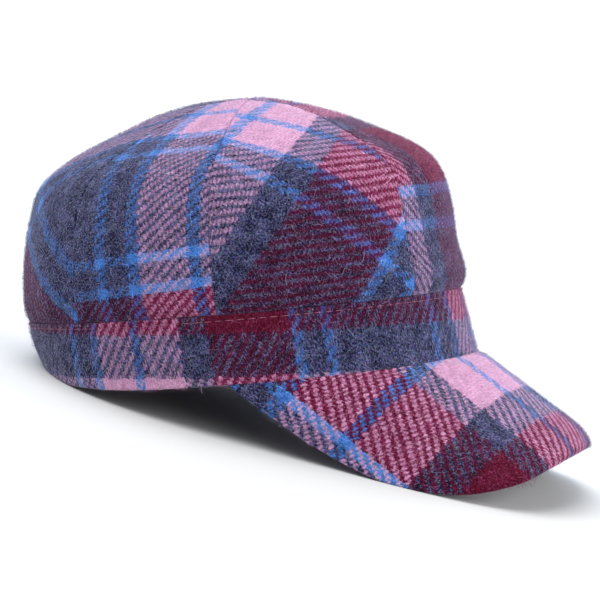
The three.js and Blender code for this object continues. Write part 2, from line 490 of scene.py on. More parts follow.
def crown_surface(angle, climb, gore):
    """Level points of a gore, for a climb from 0 at the band through 1 at the last ring to 2 at the apex."""
    start, end = math.radians(gore.start), math.radians(gore.end)
    share_up = np.clip(climb, 0, 1)
    closing = np.clip(2 - climb, 0, 1)
    height, centre, half_length, half_width = np.moveaxis(catmull_rom(CROWN_LEVELS, share_up), -1, 0)
    along = np.cos(angle) / half_length
    across = np.sin(angle) / half_width
    offset = (APEX_FORWARD - centre) / half_length
    square = along**2 + across**2
    reach = (np.sqrt((along * offset) ** 2 - square * (offset**2 - 1)) - along * offset) / square
    part = (angle - start) / (end - start)
    reach = closing * (reach + GORE_PUFF * 4 * part * (1 - part) * np.sin(math.pi * share_up))
    gap = SEAM_GAP * np.minimum(share_up / SEAM_GAP_CLIMB, 1)
    height = mix(APEX_HEIGHT, height, closing**APEX_ROUNDING) + BAND_HEIGHT + gap
    side = reach * np.sin(angle)
    forward = APEX_FORWARD + reach * np.cos(angle)
    return np.stack([side, -forward, height + 0 * reach], axis=-1)


def band_surface(angle, rise, depth):
    """Level points of the band, for a rise from 0 at its rim to 1 at its top, and a depth into its wall."""
    nape = np.maximum(-np.cos(angle), 0) ** NAPE_NARROWING
    tuck = NAPE_TUCK * nape * (1 - rise) ** 2
    centre = mix(BAND_RIM.centre, BAND_TOP.centre, rise)
    half_length = mix(BAND_RIM.half_length, BAND_TOP.half_length, rise) - depth - tuck
    half_width = mix(BAND_RIM.half_width, BAND_TOP.half_width, rise) - depth
    height = mix(NAPE_RISE * nape, BAND_HEIGHT, rise)
    side = half_width * np.sin(angle)
    forward = centre + half_length * np.cos(angle)
    return np.stack([side, -forward, height + 0 * side], axis=-1)


def peak_surface(angle, out, reach, depth):
    """Level points of the peak, out along its rulings towards their reach and down into its thickness."""
    side = BAND_RIM.half_width * np.sin(angle)
    forward = BAND_RIM.centre + BAND_RIM.half_length * np.cos(angle)
    flat = 0 * out
    rim = np.stack([side + flat, flat - forward, flat - SEAM_GAP], axis=-1)
    ruling = np.stack(
        [flat - side * PEAK_DRAW, flat - math.cos(PEAK_DROP), flat - math.sin(PEAK_DROP)], axis=-1
    )
    along_x = BAND_RIM.half_width * np.cos(angle) * (1 - PEAK_DRAW * out)
    along = np.stack([along_x, BAND_RIM.half_length * np.sin(angle) + flat, flat], axis=-1)
    inward = np.cross(along, ruling)
    inward /= np.linalg.norm(inward, axis=-1, keepdims=True)
    middle = np.maximum(1 - (angle / PEAK_LIP_HALF_ANGLE) ** 2, 0) ** 2
    lip = PEAK_LIP_DROP * middle * np.maximum(1 - (reach - out) / PEAK_LIP_RUN, 0) ** 2
    sunk = depth + lip - PEAK_SWELL * np.cos(angle) ** 2
    return rim + ruling * out[..., None] + inward * (sunk + flat)[..., None]


def quads(*corners):
    """Four-cornered faces from four arrays of corner numbers."""
    return np.stack([corner.ravel() for corner in corners], axis=1)


def wall_object(name, outer, inner, threads, nap, material):
    """A closed wall between two grids, with its threads as a UV map and its nap as an attribute."""
    rows, columns = outer.shape[:2]
    front = np.arange(rows * columns).reshape(rows, columns)
    back = front + rows * columns
    faces = np.concatenate([
        quads(front[:-1, :-1], front[:-1, 1:], front[1:, 1:], front[1:, :-1]),
        quads(back[:-1, :-1], back[1:, :-1], back[1:, 1:], back[:-1, 1:]),
        quads(front[0, :-1], back[0, :-1], back[0, 1:], front[0, 1:]),
        quads(front[-1, 1:], back[-1, 1:], back[-1, :-1], front[-1, :-1]),
        quads(front[:-1, 0], front[1:, 0], back[1:, 0], back[:-1, 0]),
        quads(front[1:, -1], front[:-1, -1], back[:-1, -1], back[1:, -1]),
    ])
    points = settle(np.concatenate([outer.reshape(-1, 3), inner.reshape(-1, 3)]))
    mesh = bpy.data.meshes.new(name)
    mesh.from_pydata(points.tolist(), [], faces.tolist())
    places = np.concatenate([threads.reshape(-1, 2)] * 2)
    layer = mesh.uv_layers.new(name="cloth")
    layer.data.foreach_set("uv", places[faces.ravel()].astype(np.float32).ravel())
    lifted = smooth_step(points[: rows * columns, 2], *FLOOR_NAP)
    shares = np.concatenate([nap.ravel() * lifted, np.zeros(rows * columns)])
    mesh.attributes.new("nap", "FLOAT", "POINT").data.foreach_set("value", shares.astype(np.float32))
    mesh.materials.append(material)
    mesh.shade_smooth()
    mesh.set_sharp_from_angle(angle=SHARP_ANGLE)
    return linked(bpy.data.objects.new(name, mesh))


def linked(piece):
    """The object, once it is in the scene."""
    bpy.context.scene.collection.objects.link(piece)
    return piece


def gore_object(gore, number, sewing, material):
    """One sewn gore, rolled in at its seams and at the band, with its seam allowances inside."""
    low = GORE_LOW_STEPS / CROWN_LEVELS[1, 0] / (len(CROWN_LEVELS) - 1)
    climb = np.concatenate([low, np.linspace(low[-1], 1, GORE_ROWS)[1:], 2 - APEX_CLOSING])[:, None]
    trial = np.radians(np.linspace(gore.start, gore.end, GORE_TRIALS))
    rows = crown_surface(trial, climb, gore)
    along_rows = travelled(rows, 1)
    width = along_rows[:, -1:]
    place = spaced(width[:, 0], SEAM_STEPS, GORE_COLUMNS)
    angle = np.stack([np.interp(*row, trial) for row in zip(place, along_rows)])
    points = crown_surface(angle, climb, gore)
    outward = outward_of(points)
    up = travelled(rows[:, GORE_TRIALS // 2], 0)[:, None]
    u = place - width / 2
    v = up + 0 * u
    from_seam = np.minimum(place, width - place)
    shallow = np.clip(width / NARROW_GORE, SHALLOWEST_SEAM, 1)
    depth = roll_in(from_seam, sewing.seam_roll, sewing.seam_depth) * shallow
    depth += roll_in(up, sewing.crown_roll, sewing.crown_depth)
    swing = PUCKER_SWING * np.sin(up / PUCKER_SWING_RUN)
    ripple = np.sin(2 * math.pi * up / PUCKER_PITCH + swing + 2 * number + np.sign(u))
    raised = sewing.pucker * shallow * ripple * np.exp(-from_seam / PUCKER_FADE)
    raised += slow_waves(u, v, sewing.slack, SEED + number) * smooth_step(from_seam, *GORE_SLACK)
    ridge = 1 - smooth_step(from_seam - sewing.allowance_width, *ALLOWANCE_END)
    inner_depth = CROWN_WALL + sewing.allowance_height * ridge * shallow
    outer = points + outward * (raised - depth)[..., None]
    inner = points - outward * inner_depth[..., None]
    nap = smooth_step(from_seam, *GORE_SEAM_NAP) * smooth_step(v, *GORE_LOW_NAP)
    return wall_object(gore.name + "_cloth", outer, inner, thread_numbers(u, v, gore.lay), nap, material)


def band_grid(sewing):
    """Angles, rises and lengths along the band, from its back seam round by the wearer's right."""
    trial = np.linspace(math.pi, 3 * math.pi, BAND_TRIALS)
    along = travelled(band_surface(trial, np.full(BAND_TRIALS, 0.5), 0), 0)
    place = spaced([along[-1]], EDGE_STEPS, BAND_COLUMNS)[0]
    groove = BAND_HEIGHT - sewing.stitch_drop + GROOVE_STEPS
    wall = np.linspace(EDGE_STEPS[-1], groove[0], BAND_ROWS)[1:-1]
    top = BAND_HEIGHT - EDGE_STEPS[:BAND_TOP_STEPS][::-1]
    height = np.concatenate([EDGE_STEPS, wall, groove, top])
    return np.interp(place, along, trial), height / BAND_HEIGHT, place


def band_object(sewing, material):
    """The band with its folded lower edge, its back seam and the groove of its stitches."""
    angle, rise, place = band_grid(sewing)
    rise = rise[:, None]
    height = rise * BAND_HEIGHT
    from_top = BAND_HEIGHT - height
    u = place + 0 * rise
    v = band_surface(angle, rise, 0)[..., 2]
    from_seam = np.minimum(u, place[-1] - u)
    hem = roll_in(height, BAND_WALL / 2, BAND_WALL / 2 - FOLDED_EDGE)
    depth = hem + roll_in(from_top, *BAND_TOP_ROLL) + roll_in(from_seam, *BACK_SEAM_ROLL)
    near = np.exp(-(((from_top - sewing.stitch_drop) / GROOVE_WIDTH) ** 2))
    pitch = sewing.stitch_length + sewing.stitch_gap
    depth += sewing.groove * near * (1 + GROOVE_PULL * np.cos(2 * math.pi * u / pitch))
    waves = slow_waves(u, height, sewing.slack, BAND_SEED)
    depth -= waves * smooth_step(height, *HEM_SLACK) * smooth_step(from_top, *BAND_TOP_SLACK)
    outer = band_surface(angle, rise, depth)
    inner = band_surface(angle, rise, BAND_WALL - hem)
    warp = thread_numbers(u, v, BAND_LAY)[..., :1]
    weft_mirrored_at_front = thread_numbers(from_seam, v, BAND_LAY)[..., 1:]
    threads = np.concatenate([warp, weft_mirrored_at_front], axis=-1)
    nap = smooth_step(from_top, *BAND_TOP_NAP) + 0 * u
    return wall_object("band_cloth", outer, inner, threads, nap, material)


def peak_grid(sewing):
    """Angles, reaches and places along the peak's edge, and how far in from it the rows lie."""
    half = np.array(PEAK_REACHES, float)
    outline = np.concatenate([half[:0:-1] * (-1, 1), half])
    trial = catmull_rom(outline, np.linspace(0, 1, PEAK_TRIALS))
    angle, reach = np.radians(trial[:, 0]), trial[:, 1] * MM
    along = travelled(peak_surface(angle, reach, reach, 0), 0)
    place = spaced([along[-1]], EDGE_STEPS, PEAK_COLUMNS)[0]
    angle = np.interp(place, along, angle)
    reach = np.interp(place, along, reach)
    close = EDGE_STEPS[:, None] + 0 * reach
    inset = np.linspace(0, 1, PEAK_ROWS)[1:, None]
    wide = mix(EDGE_STEPS[-1], reach + sewing.peak_root, inset)
    return angle, reach, place, np.concatenate([close, wide])


def peak_chart(angle, top):
    """Places on the flat peak: across to the wearer's right, and out along its rulings."""
    straight = np.array([0, -math.cos(PEAK_DROP), -math.sin(PEAK_DROP)])
    rim = band_surface(angle, np.zeros_like(angle), 0)
    level = rim - (rim @ straight)[:, None] * straight
    across = travelled(level, 0)
    v = top @ straight - np.interp(0, angle, rim @ straight)
    return np.interp(0, angle, across) - across + 0 * v, v


def peak_object(sewing, material):
    """The stiff peak, its cloth carried round a rounded edge, with its root tucked under the band."""
    angle, reach, place, from_edge = peak_grid(sewing)
    out = reach - from_edge
    u, v = peak_chart(angle, peak_surface(angle, out, reach, 0))
    slant = np.abs(np.gradient(reach) / np.maximum(np.gradient(place), TINY))
    nearest = from_edge * np.sqrt(np.clip(1 - slant**2, LEAST_EDGE_SLANT, 1))
    nearest = np.minimum(nearest, np.minimum(place, place[-1] - place))
    half_thick = PEAK_THICKNESS / 2
    edge = roll_in(nearest, half_thick, half_thick - FOLDED_EDGE)
    tuck = sewing.peak_tuck * (1 - smooth_step(out, 0, PEAK_TUCK_RUN))
    raised = slow_waves(u, v, sewing.slack / 2, PEAK_SEED) * smooth_step(nearest, *PEAK_SLACK)
    outer = peak_surface(angle, out, reach, edge + tuck - raised)
    inner = peak_surface(angle, out, reach, PEAK_THICKNESS - edge)
    nap = smooth_step(out, *PEAK_ROOT_NAP)
    return wall_object("peak_cloth", outer, inner, thread_numbers(u, v, PEAK_LAY), nap, material)


class Wiring:
    """Adds nodes to a tree and links them by plain calls."""

    def __init__(self, tree):
        self.tree = tree

    def feed(self, socket, value):
        """Links a socket, or sets its own value."""
        if isinstance(value, bpy.types.NodeSocket):
            self.tree.links.new(value, socket)
        else:
            socket.default_value = value

    def node(self, kind, inputs, **settings):
        """The outputs of a new node with these settings and inputs."""
        made = self.tree.nodes.new(kind)
        for name, value in settings.items():
            setattr(made, name, value)
        for socket, value in inputs.items():
            self.feed(made.inputs[socket], value)
        return made.outputs

    def math(self, operation, first, second=0.0, third=0.0):
        """The result of one calculation."""
        return self.node("ShaderNodeMath", {0: first, 1: second, 2: third}, operation=operation)[0]

    def plus(self, first, second):
        """The sum of two numbers."""
        return self.math("ADD", first, second)

    def times(self, first, second):
        """The product of two numbers."""
        return self.math("MULTIPLY", first, second)

    def centred(self, value, range_wide):
        """A value from 0 to 1 carried to a range of this width about 0."""
        return self.math("MULTIPLY_ADD", value, range_wide, -range_wide / 2)

    def span(self, value, low, high, new_low, new_high):
        """A value carried from one range to another and kept inside it."""
        inputs = {"Value": value, "From Min": low, "From Max": high, "To Min": new_low, "To Max": new_high}
        return self.node("ShaderNodeMapRange", inputs)[0]

    def between(self, factor, first, second):
        """A number part of the way from the first to the second."""
        return self.node("ShaderNodeMix", {0: factor, 2: first, 3: second})[0]

    def blend(self, factor, first, second, way="MIX"):
        """A colour part of the way from the first to the second."""
        inputs = {0: factor, 6: first, 7: second}
        return self.node("ShaderNodeMix", inputs, data_type="RGBA", blend_type=way)[2]

    def product(self, first, second):
        """Two colours, or a colour and a number, multiplied."""
        return self.blend(1.0, first, second, "MULTIPLY")

    def gamma(self, tint, power):
        """A colour raised to a power, which under 1 makes it paler in its own hue."""
        return self.node("ShaderNodeGamma", {0: tint, 1: power})[0]

    def vector(self, operation, *values):
        """The result of one calculation with vectors."""
        return self.node("ShaderNodeVectorMath", dict(enumerate(values)), operation=operation)[0]

    def triple(self, *numbers):
        """A vector of these numbers."""
        return self.node("ShaderNodeCombineXYZ", dict(enumerate(numbers)))[0]

    def parts(self, vector):
        """The numbers in a vector."""
        return self.node("ShaderNodeSeparateXYZ", {0: vector})

    def noise(self, place, waves, detail):
        """Noise with this many waves to each step of the place."""
        inputs = {"Vector": place, "Scale": waves, "Detail": detail}
        return self.node("ShaderNodeTexNoise", inputs, noise_dimensions="2D")

    def random(self, low, high, seed):
        """A random number for each point."""
        inputs = {2: low, 3: high, "Seed": seed}
        return self.node("FunctionNodeRandomValue", inputs, data_type="FLOAT")[1]


class Tweed(Wiring):
    """Wiring for the plaid, which is woven as a two and two twill and then fulled."""

    def __init__(self, group, cloth):
        super().__init__(group)
        self.cloth = cloth
        given = self.node("NodeGroupInput", {})
        self.threads, self.felting = given["Threads"], given["Felting"]
        place = self.threads
        for patches, reach in STRAYS:
            place = self.strayed(place, patches, reach)
        parts = self.parts(place)
        self.warp, in_warp = self.math("FLOOR", parts[0]), self.math("FRACT", parts[0])
        self.weft, in_weft = self.math("FLOOR", parts[1]), self.math("FRACT", parts[1])
        step = self.math("FLOORED_MODULO", self.math("SUBTRACT", self.warp, self.weft), TWILL_STEPS)
        self.warp_up = self.math("LESS_THAN", step, WARP_STEPS - 0.5)
        along_warp = self.math("SUBTRACT", in_weft, step)
        along_weft = self.plus(self.math("SUBTRACT", in_warp, TWILL_STEPS - 1), step)
        self.along = self.between(self.warp_up, along_weft, along_warp)
        self.side = self.centred(self.between(self.warp_up, in_weft, in_warp), 2)
        self.fuzz = self.noise(self.threads, *FUZZ)[0]
        self.jumble = self.noise(self.threads, *JUMBLE)[0]
        self.blotch = self.noise(self.threads, *BLOTCH)[0]
        self.streak = self.streaks(place)

    def weave(self):
        """Links the colour of the cloth, with painted shade where the yarn lies low and a painted highlight
        where it stands high, and its height to the outputs of the group.
        """
        ridge, ends = self.yarn_shape()
        height = self.between(FUZZ_SHARE, self.times(ridge, ends), self.fuzz)
        felted, melange = self.crossing(self.cover(ridge, ends))
        # The colour darkened in the low places and brightened on the crests: painted shade and painted
        # highlight
        height_shaded = self.product(felted, self.span(height, *HEIGHT_SHADE))
        curled = self.curled(self.fibres(height_shaded, melange), height_shaded)
        self.node("NodeGroupOutput", {"Color": curled, "Height": height})

    def strayed(self, place, patches, reach):
        """A place moved at random, half of the reach each way, in so many patches to a thread."""
        chance = self.noise(self.threads, patches, 1)["Color"]
        moved = self.vector("MULTIPLY_ADD", chance, (reach, reach, 0), (-reach / 2, -reach / 2, 0))
        return self.vector("ADD", place, moved)

    def streaks(self, place):
        """Noise drawn out along the twisted fibres of each length of yarn on top."""
        long, thin = STREAK_STRETCH
        strand = self.triple(self.times(self.along, long), self.times(self.plus(self.along, self.side), thin))
        cell = self.vector("MULTIPLY", self.vector("FLOOR", place), STREAK_SHIFT)
        return self.noise(self.vector("ADD", strand, cell), *STREAK)[0]

    def yarn_shape(self):
        """How far the yarn on top stands up at its sides, and at its two ends, with fuzzy outlines."""
        rough = self.centred(self.fuzz, FUZZ_DEPTH)
        edge = self.math("ABSOLUTE", self.math("MULTIPLY_ADD", self.along, TWIST, self.side))
        tip = self.math("ABSOLUTE", self.along)
        ridge = self.span(self.plus(edge, rough), *SIDE_FALL, 0, 1)
        return ridge, self.span(self.plus(tip, rough), *END_FALL, 0, 1)

    def cover(self, ridge, ends):
        """How far the yarn on top hides the one beneath."""
        frayed = self.times(self.math("SUBTRACT", self.jumble, 0.5), self.times(self.felting, FRAY_JUMBLE))
        frayed = self.plus(frayed, self.centred(self.streak, FRAY_STREAK))
        packed = self.times(ends, self.span(ridge, 0, 1, LEAST_COVER, 1))
        return self.node("ShaderNodeClamp", {0: self.plus(packed, frayed)})[0]

    def crossing(self, cover):
        """The colour of two crossing yarns, felted together and into their neighbours, with the gaps between
        floats pushed towards the darker yarn as painted shade, and its melange.
        """
        warp_tint, warp_melange = self.sett(self.warp)
        weft_tint, weft_melange = self.sett(self.weft)
        over = self.blend(self.warp_up, weft_tint, warp_tint)
        under = self.blend(self.warp_up, warp_tint, weft_tint)
        matted = self.fibre_mix(0.5, over, under)
        # Between the floats the matted fibres turn towards the darker yarn, which is painted shade as well as
        # the yarn beneath
        gap = self.blend(GAP_SHADE_SHARE, matted, self.blend(1.0, over, under, "DARKEN"))
        shown = self.blend(EVEN_SHARE, self.fibre_mix(cover, gap, over), self.blend(cover, gap, over))
        uneven = self.times(self.felting, self.span(self.fuzz, *UNEVEN_FELTING))
        felted = self.blend(uneven, shown, matted)
        near = self.parts(self.vector("FLOOR", self.strayed(self.threads, *NEIGHBOURS)))
        strays = self.fibre_mix(0.5, self.sett(near[0])[0], self.sett(near[1])[0])
        patches = self.times(self.felting, self.span(self.jumble, *STRAY_PATCHES))
        melange = self.between(self.warp_up, weft_melange, warp_melange)
        return self.blend(patches, felted, strays), melange

    def sett(self, thread):
        """The plaid's colour at a whole thread number, and the melange of its yarn."""
        turn = self.math("FRACT", self.math("DIVIDE", self.plus(thread, 0.5), SETT_THREADS))
        made = self.node("ShaderNodeValToRGB", {0: turn})
        ramp = made[0].node.color_ramp
        ramp.interpolation = "CONSTANT"
        first = 0
        for number, (yarn, count) in enumerate(SETT):
            if number > 1:
                ramp.elements.new(first / SETT_THREADS)
            ramp.elements[number].position = first / SETT_THREADS
            ramp.elements[number].color = (*getattr(self.cloth, yarn), MELANGE[yarn])
            first += count
        tone = self.node("ShaderNodeTexWhiteNoise", {"W": thread}, noise_dimensions="1D")["Value"]
        return self.product(made[0], self.span(tone, 0, 1, *THREAD_TONES)), made[1]

    def fibre_mix(self, factor, first, second):
        """A colour of matted fibres, darker than an even blend because light passes from one to another."""
        kept = self.gamma(first, self.math("SUBTRACT", 1.0, factor))
        return self.product(kept, self.gamma(second, factor))

    def fibres(self, tint, melange):
        """The colour of the fibres in a yarn, some darker, some paler and each of its own hue."""
        cloth = self.cloth
        mixed = 0.0
        for noise, range_wide in FIBRE_RANGES.items():
            mixed = self.plus(mixed, self.centred(getattr(self, noise), range_wide))
        mixed = self.math("TANH", self.times(mixed, FIBRE_CONTRAST))
        dark = self.times(self.math("MINIMUM", mixed), self.times(melange, cloth.grain))
        dimmed = self.product(tint, self.math("POWER", 2.0, dark))
        pale = self.times(self.math("MAXIMUM", mixed), self.times(melange, melange))
        fleck = self.blend(melange, self.product(tint, FLECK_GAIN), (*cloth.pale_fibre, 1))
        flecked = self.blend(self.times(pale, cloth.flecks), dimmed, fleck)
        chance = self.noise(self.threads, *HUE)["Color"]
        hues = self.vector("MULTIPLY_ADD", chance, (cloth.hues,) * 3, (1 - cloth.hues / 2,) * 3)
        return self.blend(melange, flecked, self.product(flecked, hues))

    def curled(self, tint, shaded_yarn_tint):
        """A colour crossed by pale and dark curling fibres."""
        pale = self.times(self.curls(PALE_CURLS), self.cloth.curls)
        lit = self.blend(pale, tint, self.gamma(shaded_yarn_tint, PALE_LIFT))
        dark = self.times(self.curls(DARK_CURLS), self.cloth.curls)
        return self.blend(dark, lit, self.product(lit, CURL_DIM))

    def curls(self, shift):
        """Thin curling lines, drawn where one slow noise is at its middle and kept where another is high."""
        place = self.vector("ADD", self.threads, (shift, -shift, 0))
        level = self.math("SUBTRACT", self.noise(place, *CURL_LINES)[0], 0.5)
        line = self.span(self.math("ABSOLUTE", level), 0, CURL_WIDTH, 1, 0)
        kept = self.noise(self.vector("ADD", place, (shift, shift, 0)), *CURL_PATCHES)[0]
        return self.times(line, self.span(kept, *CURL_RARITY, 0, 1))


def add_sockets(tree, way, kinds):
    """Adds these inputs or outputs to a node tree."""
    for name, kind in kinds.items():
        tree.interface.new_socket(name, in_out=way, socket_type="NodeSocket" + kind)


def tweed_group(cloth):
    """The node group that gives the tweed's colour and height at a place on the cloth, made once."""
    group = bpy.data.node_groups.get("twill")
    if group is None:
        group = bpy.data.node_groups.new("twill", "ShaderNodeTree")
        add_sockets(group, "INPUT", {"Threads": "Vector", "Felting": "Float"})
        add_sockets(group, "OUTPUT", {"Color": "Color", "Height": "Float"})
        Tweed(group, cloth).weave()
    return group


def new_material(name):
    """A new material, its wiring and its surface node."""
    material = bpy.data.materials.new(name)
    material.use_nodes = True
    return material, Wiring(material.node_tree), material.node_tree.nodes["Principled BSDF"]


def cloth_material(name, felting, cloth):
    """Wool cloth that reads its threads from the UV map."""
    material, wiring, surface = new_material(name)
    threads = wiring.node("ShaderNodeUVMap", {}, uv_map="cloth")[0]
    inputs = {"Threads": threads, "Felting": felting}
    weave = wiring.node("ShaderNodeGroup", inputs, node_tree=tweed_group(cloth))
    bump = wiring.node("ShaderNodeBump", {"Height": weave["Height"], "Distance": cloth.relief})
    wiring.feed(surface.inputs["Normal"], bump[0])
    set_wool(wiring, surface, weave["Color"])
    return material


def nap_material(cloth):
    """Loose fibres in the colour of the thread that they stand on, some of them paler."""
    material, wiring, surface = new_material("wool_nap")
    root = wiring.node("ShaderNodeAttribute", {}, attribute_name="root_threads")["Vector"]
    inputs = {"Threads": root, "Felting": NAP_FELTING}
    # This colour carries the weave's painted shade in the hollows and painted highlight on the crests
    tint = wiring.node("ShaderNodeGroup", inputs, node_tree=tweed_group(cloth))["Color"]
    chance = wiring.node("ShaderNodeTexWhiteNoise", {"Vector": root}, noise_dimensions="2D")["Value"]
    pale = wiring.gamma(tint, NAP_LIFT)
    set_wool(wiring, surface, wiring.blend(wiring.span(chance, *NAP_PALENESS), tint, pale))
    return material


def set_wool(wiring, surface, tint):
    """Dull wool of this colour with a soft bloom at its edges."""
    wiring.feed(surface.inputs["Base Color"], tint)
    bloom = wiring.product(wiring.gamma(tint, PALE_LIFT), SHEEN_GAIN)
    wiring.feed(surface.inputs["Sheen Tint"], wiring.blend(SHEEN_COOL_SHARE, bloom, SHEEN_COOL))
    for name, value in WOOL_FINISH.items():
        surface.inputs[name].default_value = value


def plain_material(name, tint, roughness):
    """One even colour."""
    material, wiring, surface = new_material(name)
    surface.inputs["Base Color"].default_value = (*tint, 1)
    surface.inputs["Roughness"].default_value = roughness
    surface.inputs["Specular IOR Level"].default_value = 0.2
    return material


def geometry_tree(name, sizes):
    """A geometry node tree that takes these sizes, a seed and a material, with its wiring and its inputs."""
    tree = bpy.data.node_groups.new(name, "GeometryNodeTree")
    add_sockets(tree, "INPUT", {"Geometry": "Geometry"} | dict.fromkeys(sizes, "Float"))
    add_sockets(tree, "INPUT", {"Seed": "Int", "Material": "Material"})
    add_sockets(tree, "OUTPUT", {"Geometry": "Geometry"})
    wiring = Wiring(tree)
    return tree, wiring, wiring.node("NodeGroupInput", {})


def finish_tree(wiring, inputs, material):
    """Sets an instance on each point, realises them and gives them their material."""
    instances = wiring.node("GeometryNodeInstanceOnPoints", inputs)[0]
    real = wiring.node("GeometryNodeRealizeInstances", {0: instances})[0]
    dressed = wiring.node("GeometryNodeSetMaterial", {"Geometry": real, "Material": material})[0]
    wiring.node("NodeGroupOutput", {0: dressed})


def stitch_tree():
    """Stitches laid end to end along a line."""
    tree, wiring, given = geometry_tree("stitches", ("Length", "Gap", "Width"))
    curve = wiring.node("GeometryNodeMeshToCurve", {0: given["Geometry"]})[0]
    pitch = wiring.plus(given["Length"], given["Gap"])
    spots = wiring.node("GeometryNodeCurveToPoints", {"Curve": curve, "Length": pitch}, mode="LENGTH")
    turn = wiring.node("FunctionNodeAlignRotationToVector", {"Vector": spots["Tangent"]}, axis="Z")[0]
    bead = wiring.node("GeometryNodeMeshUVSphere", {"Segments": 8, "Rings": 6, "Radius": 0.5})[0]
    soft = wiring.node("GeometryNodeSetShadeSmooth", {0: bead})[0]
    long = wiring.times(given["Length"], wiring.random(*STITCH_LENGTHS, given["Seed"]))
    size = wiring.triple(given["Width"], given["Width"], long)
    inputs = {"Points": spots[0], "Instance": soft, "Rotation": turn, "Scale": size}
    finish_tree(wiring, inputs, given["Material"])
    return tree


def nap_tree():
    """Loose fibres scattered over the outside of the cloth, each a thin bent ribbon."""
    tree, wiring, given = geometry_tree("nap", ("Density", "Length", "Width"))
    cover = wiring.node("GeometryNodeInputNamedAttribute", {"Name": "nap"}, data_type="FLOAT")[0]
    density = wiring.times(cover, given["Density"])
    inputs = {"Mesh": given["Geometry"], "Density": density, "Seed": given["Seed"]}
    spots = wiring.node("GeometryNodeDistributePointsOnFaces", inputs)
    place = wiring.node("GeometryNodeInputNamedAttribute", {"Name": "cloth"}, data_type="FLOAT_VECTOR")[0]
    inputs = {"Geometry": spots["Points"], "Name": "root_threads", "Value": place}
    kept = wiring.node("GeometryNodeStoreNamedAttribute", inputs, data_type="FLOAT_VECTOR")[0]
    strand = wiring.node("GeometryNodeCurveQuadraticBezier", FIBRE_BEND)[0]
    profile = wiring.node("GeometryNodeCurvePrimitiveLine", {"Start": (-0.5, 0, 0), "End": (0.5, 0, 0)})[0]
    wide = wiring.math("DIVIDE", given["Width"], given["Length"])
    inputs = {"Geometry": profile, "Scale": wiring.triple(wide, wide, wide)}
    thin = wiring.node("GeometryNodeTransform", inputs)[0]
    fibre = wiring.node("GeometryNodeCurveToMesh", {"Curve": strand, "Profile Curve": thin})[0]
    spin = wiring.random(0.0, 2 * math.pi, given["Seed"])
    about = wiring.node("FunctionNodeAxisAngleToRotation", {"Axis": (0, 0, 1), "Angle": spin})[0]
    inputs = {"Rotation": spots["Rotation"], "Rotate By": about}
    turn = wiring.node("FunctionNodeRotateRotation", inputs, rotation_space="LOCAL")[0]
    chance = wiring.random(0.0, 1.0, wiring.plus(given["Seed"], STRAY_FIBRE_SEED))
    rare = wiring.math("POWER", chance, STRAY_FIBRE_RARITY)
    usual = wiring.random(*FIBRE_LENGTHS, given["Seed"])
    long = wiring.times(given["Length"], wiring.math("MULTIPLY_ADD", rare, STRAY_FIBRE_GROWTH, usual))
    inputs = {"Points": kept, "Instance": fibre, "Rotation": turn, "Scale": wiring.triple(long, long, long)}
    finish_tree(wiring, inputs, given["Material"])
    return tree


def grown(name, mesh, tree, values):
    """A new plain object made by running a geometry node tree on a mesh."""
    carrier = linked(bpy.data.objects.new(name + "_carrier", mesh))
    modifier = carrier.modifiers.new(name, "NODES")
    modifier.node_group = tree
    for socket in tree.interface.items_tree:
        if socket.in_out == "INPUT" and socket.name in values:
            modifier[socket.identifier] = values[socket.name]
    evaluated = carrier.evaluated_get(bpy.context.evaluated_depsgraph_get())
    made = bpy.data.meshes.new_from_object(evaluated)
    made.name = name
    carrier.modifiers.clear()
    bpy.data.objects.remove(carrier)
    return linked(bpy.data.objects.new(name, made))


class CAP_OT_crown(bpy.types.Operator):
    """Make the six gores of the crown."""

    bl_idname = "cap.crown"
    bl_label = "Crown"

    def execute(self, context):
        cloth = context.scene.cap_cloth
        material = cloth_material("crown_wool", cloth.crown_felting, cloth)
        for number, gore in enumerate(GORES):
            piece = gore_object(gore, number, context.scene.cap_sewing, material)
            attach(piece, "root")
            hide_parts(gore.name)
        return {"FINISHED"}


class CAP_OT_band(bpy.types.Operator):
    """Make the band."""

    bl_idname = "cap.band"
    bl_label = "Band"

    def execute(self, context):
        cloth = context.scene.cap_cloth
        material = cloth_material("band_wool", cloth.band_felting, cloth)
        piece = band_object(context.scene.cap_sewing, material)
        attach(piece, "root")
        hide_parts("band")
        return {"FINISHED"}


class CAP_OT_peak(bpy.types.Operator):
    """Make the peak."""

    bl_idname = "cap.peak"
    bl_label = "Peak"

    def execute(self, context):
        cloth = context.scene.cap_cloth
        material = cloth_material("peak_wool", cloth.peak_felting, cloth)
        piece = peak_object(context.scene.cap_sewing, material)
        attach(piece, "root")
        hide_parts("peak")
        return {"FINISHED"}


class CAP_OT_stitches(bpy.types.Operator):
    """Sew the row of stitches along the top of the band."""

    bl_idname = "cap.stitches"
    bl_label = "Stitches"

    def execute(self, context):
        sewing = context.scene.cap_sewing
        angle = np.linspace(math.pi, 3 * math.pi, STITCH_LINE_POINTS)
        rise = np.full(STITCH_LINE_POINTS, 1 - sewing.stitch_drop / BAND_HEIGHT)
        line = settle(band_surface(angle, rise, sewing.groove - STITCH_PROUD))
        edges = [(number, number + 1) for number in range(STITCH_LINE_POINTS - 1)]
        mesh = bpy.data.meshes.new("stitch_line")
        mesh.from_pydata(line.tolist(), edges, [])
        thread = plain_material("sewing_thread", context.scene.cap_cloth.sewing_thread, roughness=0.6)
        piece = grown("band_stitches", mesh, stitch_tree(), {
            "Length": sewing.stitch_length,
            "Gap": sewing.stitch_gap,
            "Width": sewing.stitch_width,
            "Seed": SEED,
            "Material": thread,
        })
        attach(piece, "root")
        return {"FINISHED"}


